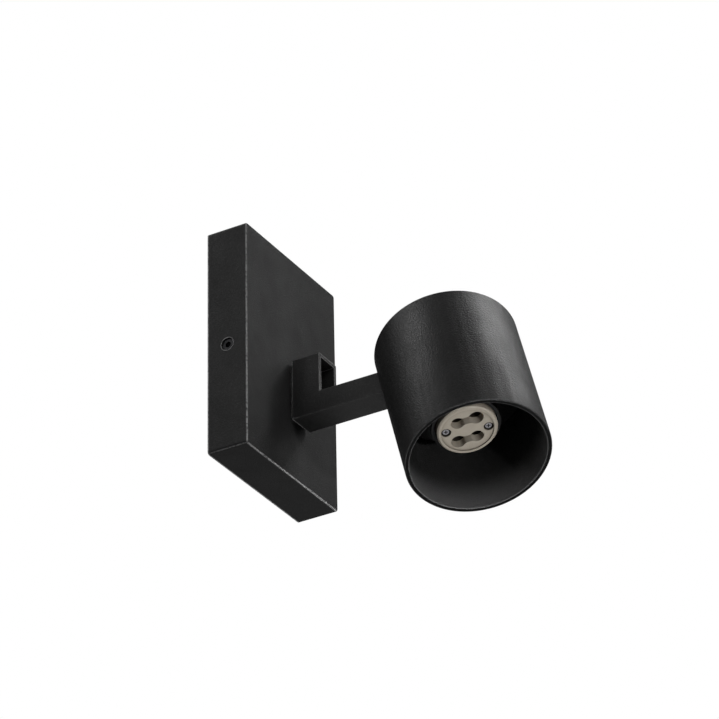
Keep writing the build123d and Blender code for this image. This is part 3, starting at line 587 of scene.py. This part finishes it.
def ceramic_finish(name, pale, warm, corner, reach):
    """Unglazed ceramic: fine grain, slow mottle, painted shade in its corners and a painted shadow
    round each of its screws.
    """
    material, tree, shader, place = new_finish(name, Specular_IOR_Level=0.4)
    skin = place_group(tree, pebble_skin, place, Pebbles_per_Metre=3500, Waves_per_Metre=260)
    mottled = mix_colour(tree, skin.outputs["Wave"], pale, warm)
    # Painted shade: an Ambient Occlusion node darkens the corners and recesses.
    corners = add_node(tree, "ShaderNodeAmbientOcclusion", samples=8)
    corners.inputs["Distance"].default_value = reach
    depth = number(tree, "POWER", corners.outputs["AO"], 1.5)
    shaded = mix_colour(tree, depth, corner, mottled)
    # Painted shadow: a dark ring round each screw, where the counterbore lies in shade.
    clear = ramp(tree, from_screws(tree, place), screw_hole_edge, screw_hole_clear)
    ringed = mix_colour(tree, clear, (0.006, 0.005, 0.004), shaded)
    tree.links.new(ringed, shader.inputs["Base Color"])
    shader.inputs["Roughness"].default_value = 0.55
    add_bump(tree, shader, skin.outputs["Height"], 0.00002)
    return material


holder_ceramic = ceramic_finish(
    "steatite", (0.36, 0.325, 0.27), (0.29, 0.26, 0.215), (0.05, 0.038, 0.026), 0.0035)
# Painted shade: the body seen through the keyholes takes a darker copy of the steatite.
shaded_inner_ceramic = ceramic_finish(
    "steatite_inside_shaded", (0.12, 0.10, 0.075), (0.09, 0.075, 0.055), (0.01, 0.008, 0.006), 0.008)
print("ceramics", holder_ceramic.name, shaded_inner_ceramic.name)

# %% [markdown]
# Zinc plate, brass and blackened screws are bare metals. Rolled or turned metal has fine lines
# along one direction, so a noise is stretched on one axis to drive its roughness.

# %% Metals


def bare_metal(name, colour, spot, roughness, stretch, painted_screw_shade=False):
    """Plated or bare metal: brushed lines, cloudy spots and, if wanted, painted shade on the screw
    heads' sides and in their cross recesses.
    """
    material, tree, shader, place = new_finish(name, Metallic=1.0)
    mapping = add_node(tree, "ShaderNodeMapping")
    mapping.inputs["Scale"].default_value = stretch
    tree.links.new(place, mapping.inputs["Vector"])
    lines = add_node(tree, "ShaderNodeTexNoise", noise_dimensions="3D")
    lines.inputs["Scale"].default_value = 1.0
    lines.inputs["Detail"].default_value = 4.0
    tree.links.new(mapping.outputs[0], lines.inputs["Vector"])
    skin = place_group(tree, pebble_skin, place, Pebbles_per_Metre=2500, Waves_per_Metre=220)
    clouded = mix_colour(tree, skin.outputs["Wave"], colour, spot)
    # Painted shade: outside the head's top and in the cross recess the screws are painted dark.
    if painted_screw_shade:
        recess_shade = add_node(tree, "ShaderNodeAmbientOcclusion", samples=8)
        recess_shade.inputs["Distance"].default_value = 0.0008
        top = ramp(tree, from_screws(tree, place), screw_head_edge, screw_head_inner)
        bright = number(tree, "MULTIPLY", top, ramp(tree, recess_shade.outputs["AO"], 0.70, 0.95))
        clouded = mix_colour(tree, bright, (0.015, 0.015, 0.016), clouded)
    tree.links.new(clouded, shader.inputs["Base Color"])
    gloss = add_node(tree, "ShaderNodeMapRange", clamp=True)
    gloss.inputs["To Min"].default_value = roughness - 0.12
    gloss.inputs["To Max"].default_value = roughness + 0.12
    tree.links.new(lines.outputs["Fac"], gloss.inputs["Value"])
    tree.links.new(gloss.outputs["Result"], shader.inputs["Roughness"])
    add_bump(tree, shader, lines.outputs["Fac"], 0.00001)
    return material


zinc = bare_metal("zinc_plate", (0.62, 0.63, 0.65), (0.50, 0.50, 0.50), 0.36, (300, 300, 3000))
screw_steel = bare_metal("screw_steel", (0.66, 0.65, 0.68), (0.52, 0.51, 0.54), 0.34,
                         (900, 900, 900), painted_screw_shade=True)
brass = bare_metal("bare_brass", (0.72, 0.52, 0.22), (0.56, 0.38, 0.15), 0.34, (2500, 400, 400))
black_oxide = bare_metal("black_oxide", (0.13, 0.13, 0.135), (0.06, 0.06, 0.065), 0.24,
                         (1200, 1200, 1200))
print("metals", [metal.name for metal in (zinc, screw_steel, brass, black_oxide)])

# %% [markdown]
# Nylon and rubber are moulded. They differ in colour, in how deep their skin's texture is and
# in gloss, so one function makes them all.

# %% Plastics and rubber


def moulded(name, colour, patchiness, roughness, depth):
    """Moulded plastic or rubber: fine spark texture and a slow change of shade."""
    material, tree, shader, place = new_finish(name)
    skin = place_group(tree, pebble_skin, place, Pebbles_per_Metre=2800, Waves_per_Metre=150)
    shade = mix_colour(tree, skin.outputs["Wave"], colour, patchiness)
    tree.links.new(shade, shader.inputs["Base Color"])
    gloss = add_node(tree, "ShaderNodeMapRange", clamp=True)
    gloss.inputs["To Min"].default_value = roughness - 0.05
    gloss.inputs["To Max"].default_value = roughness + 0.08
    tree.links.new(skin.outputs["Fleck"], gloss.inputs["Value"])
    tree.links.new(gloss.outputs["Result"], shader.inputs["Roughness"])
    add_bump(tree, shader, skin.outputs["Height"], depth)
    return material


grommet_rubber = moulded("grommet_rubber", (0.016, 0.016, 0.016), (0.03, 0.03, 0.03), 0.7, 0.00004)
washer_nylon = moulded("black_nylon", (0.02, 0.02, 0.02), (0.03, 0.03, 0.03), 0.5, 0.00003)
terminal_nylon = moulded("white_nylon", (0.78, 0.77, 0.72), (0.70, 0.68, 0.62), 0.5, 0.00003)
print("moulded", [finish.name for finish in (grommet_rubber, washer_nylon, terminal_nylon)])

# %% [markdown]
# ## Dress the pieces
#
# Each node keeps its shape from the model and gets its finish by name.

# %% Put each finish on its nodes
finish_of = {
    canopy_coat: ["canopy_cover"],
    lit_arm_coat: ["arm_bracket", "spacer_washer", "pivot_yoke"],
    head_coat: ["head_tube"],
    shaded_hidden_coat: ["head_cap", "inner_baffle", "holder_cup"],
    holder_ceramic: ["lampholder_face"],
    shaded_inner_ceramic: ["lampholder_body"],
    screw_steel: ["lampholder_screws"],
    zinc: ["wall_bracket", "terminal_screws", "terminal_fixing_screw", "earth_washer",
           "threaded_nipple", "nipple_lock_washer", "nipple_nut", "hinge_nut"],
    brass: ["earth_screw", "contact_clips"],
    black_oxide: ["side_screws", "swivel_lock_screw", "hinge_screw", "baffle_screws"],
    grommet_rubber: ["cable_grommet"],
    washer_nylon: ["swivel_washer", "hinge_washers"],
    terminal_nylon: ["terminal_block"],
}
for finish, names in finish_of.items():
    for name in names:
        for slot in nodes[name].material_slots:
            slot.material = finish
dressed = {name for names in finish_of.values() for name in names}
print("dressed", len(dressed), "left plain", sorted(set(nodes) - dressed))

# %% [markdown]
# ## Softened edges
#
# A pressed or cast edge is never razor sharp, and the thin line of light on it is what shows an edge
# in a black object. The bracket and the head's tube each get a copy with bevelled edges that stands
# for the node. The copy's faces are merged first, as a bevel needs whole faces instead of the
# model's thin triangles. Inside, the tube takes a paler copy of the coat with painted light that
# grows towards the rim, and the rim's flat end takes a darker, less glossy copy, painted shade, so
# both take a finish of their own.

# %% Bevelled copies
merge_distance = 0.000002
flat_angle = math.radians(0.5)
edge_angle = math.radians(35)


def softened(node, width):
    """A copy of a node with bevelled edges, which takes the node's place in the picture."""
    mesh = nodes[node].data.copy()
    shell = bmesh.new()
    shell.from_mesh(mesh)
    bmesh.ops.remove_doubles(shell, verts=shell.verts, dist=merge_distance)
    bmesh.ops.dissolve_limit(shell, angle_limit=flat_angle, verts=shell.verts, edges=shell.edges)
    shell.to_mesh(mesh)
    solid_before = shell.calc_volume()
    shell.free()
    piece = bpy.data.objects.new(node + "_soft", mesh)
    bpy.context.scene.collection.objects.link(piece)
    bevel = piece.modifiers.new("soft_edge", "BEVEL")
    bevel.width = width
    bevel.segments = 2
    bevel.limit_method = "ANGLE"
    bevel.angle_limit = edge_angle
    bevel.use_clamp_overlap = True
    bevel.harden_normals = True
    mesh.shade_smooth()
    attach(piece, body_of(nodes[node])[0])
    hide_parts(node)
    print(piece.name, "faces", len(mesh.polygons), "volume mm3", round(solid_before * 1e9, 1))
    return piece


softened("arm_bracket", 0.00025)
tube = softened("head_tube", 0.00012)
tube.data.materials.append(lit_inside_coat)
tube.data.materials.append(shaded_rim_coat)
bore_reach = 0.0285
rim_flat_height = 0.00005
for face in tube.data.polygons:
    spoke = face.center - rim_centre
    height = spoke.dot(up_dir)
    spoke -= up_dir * height
    if spoke.length < bore_reach and spoke.dot(face.normal) < -0.5 * spoke.length:
        face.material_index = 1
    elif height < rim_flat_height and face.normal.dot(up_dir) < -0.9:
        face.material_index = 2
print("faces of outside, bore and rim",
      [sum(face.material_index == slot for face in tube.data.polygons) for slot in (0, 1, 2)])

# %% [markdown]
# ## Ribs on the cable grommet
#
# A rubber grommet has small ribs round its lip. One node tree makes any ring of small bars: a
# circle gives the places, each bar is turned to point outwards, and a seeded random number makes
# them a little uneven, as moulded rubber is.

# %% Ring of bars
ring = bpy.data.node_groups.new("ring_of_bars", "GeometryNodeTree")
ring_input = {}
for title, kind, value in (("Geometry", "Geometry", None), ("Count", "Int", 12),
                           ("Radius", "Float", 0.006), ("Bar Length", "Float", 0.002),
                           ("Bar Width", "Float", 0.0008), ("Bar Height", "Float", 0.0004),
                           ("Unevenness", "Float", 0.06), ("Seed", "Int", 7),
                           ("Finish", "Material", None)):
    socket = ring.interface.new_socket(title, in_out="INPUT", socket_type="NodeSocket" + kind)
    ring_input[title] = socket.identifier
    if value is not None:
        socket.default_value = value
ring.interface.new_socket("Geometry", in_out="OUTPUT", socket_type="NodeSocketGeometry")
start, end = add_node(ring, "NodeGroupInput"), add_node(ring, "NodeGroupOutput")
circle = add_node(ring, "GeometryNodeMeshCircle")
bar = add_node(ring, "GeometryNodeMeshCube")
bar_size = add_node(ring, "ShaderNodeCombineXYZ")
index = add_node(ring, "GeometryNodeInputIndex")
turn_by = add_node(ring, "ShaderNodeCombineXYZ")
as_turn = add_node(ring, "FunctionNodeEulerToRotation")
uneven = add_node(ring, "FunctionNodeRandomValue", data_type="FLOAT")
places = add_node(ring, "GeometryNodeInstanceOnPoints")
solid = add_node(ring, "GeometryNodeRealizeInstances")
painted = add_node(ring, "GeometryNodeSetMaterial")
ring.links.new(start.outputs["Count"], circle.inputs["Vertices"])
ring.links.new(start.outputs["Radius"], circle.inputs["Radius"])
for socket, title in zip(bar_size.inputs, ("Bar Length", "Bar Width", "Bar Height")):
    ring.links.new(start.outputs[title], socket)
ring.links.new(bar_size.outputs[0], bar.inputs["Size"])
step = number(ring, "DIVIDE", 2 * math.pi, start.outputs["Count"])
ring.links.new(number(ring, "MULTIPLY", index.outputs[0], step), turn_by.inputs["Z"])
ring.links.new(turn_by.outputs[0], as_turn.inputs[0])
ring.links.new(number(ring, "SUBTRACT", 1.0, start.outputs["Unevenness"]), uneven.inputs[2])
uneven.inputs[3].default_value = 1.0
ring.links.new(start.outputs["Seed"], uneven.inputs["Seed"])
ring.links.new(circle.outputs["Mesh"], places.inputs["Points"])
ring.links.new(bar.outputs["Mesh"], places.inputs["Instance"])
ring.links.new(as_turn.outputs[0], places.inputs["Rotation"])
ring.links.new(uneven.outputs[1], places.inputs["Scale"])
ring.links.new(places.outputs[0], solid.inputs[0])
ring.links.new(solid.outputs[0], painted.inputs["Geometry"])
ring.links.new(start.outputs["Finish"], painted.inputs["Material"])
ring.links.new(painted.outputs[0], end.inputs["Geometry"])


def ring_of_bars(name, body, place, bevel_width, **values):
    """A ring of bars as a plain mesh on a body. Place is a matrix from the ring's own frame."""
    seat = bpy.data.objects.new(name + "_seat", bpy.data.meshes.new(name + "_seat"))
    bpy.context.scene.collection.objects.link(seat)
    repeat = seat.modifiers.new("repeat", "NODES")
    repeat.node_group = ring
    for title, value in values.items():
        repeat[ring_input[title.replace("_", " ")]] = value
    evaluated = seat.evaluated_get(bpy.context.evaluated_depsgraph_get())
    mesh = bpy.data.meshes.new_from_object(evaluated)
    bpy.data.objects.remove(seat)
    mesh.transform(place)
    piece = bpy.data.objects.new(name, mesh)
    bpy.context.scene.collection.objects.link(piece)
    bevel = piece.modifiers.new("soft_edge", "BEVEL")
    bevel.width = bevel_width
    bevel.segments = 2
    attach(piece, body)
    print(name, "faces", len(mesh.polygons))
    return piece


grommet_low, grommet_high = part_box("cable_grommet")
grommet_middle = (grommet_low + grommet_high) / 2
lip_front = Vector((grommet_middle.x, grommet_low.y - 0.0001, grommet_middle.z))
upright = Matrix.Translation(lip_front) @ Matrix.Rotation(math.radians(90), 4, "X")
ring_of_bars("grommet_ribs", "base", upright, 0.00012, Count=16, Radius=0.0059,
             Bar_Length=0.0022, Bar_Width=0.0007, Bar_Height=0.0006, Finish=grommet_rubber)

# %% [markdown]
# ## Colour management and the last line
#
# The picture keeps plain colours, so the view transform is Standard.

# %% Finish
bpy.context.scene.view_settings.view_transform = "Standard"
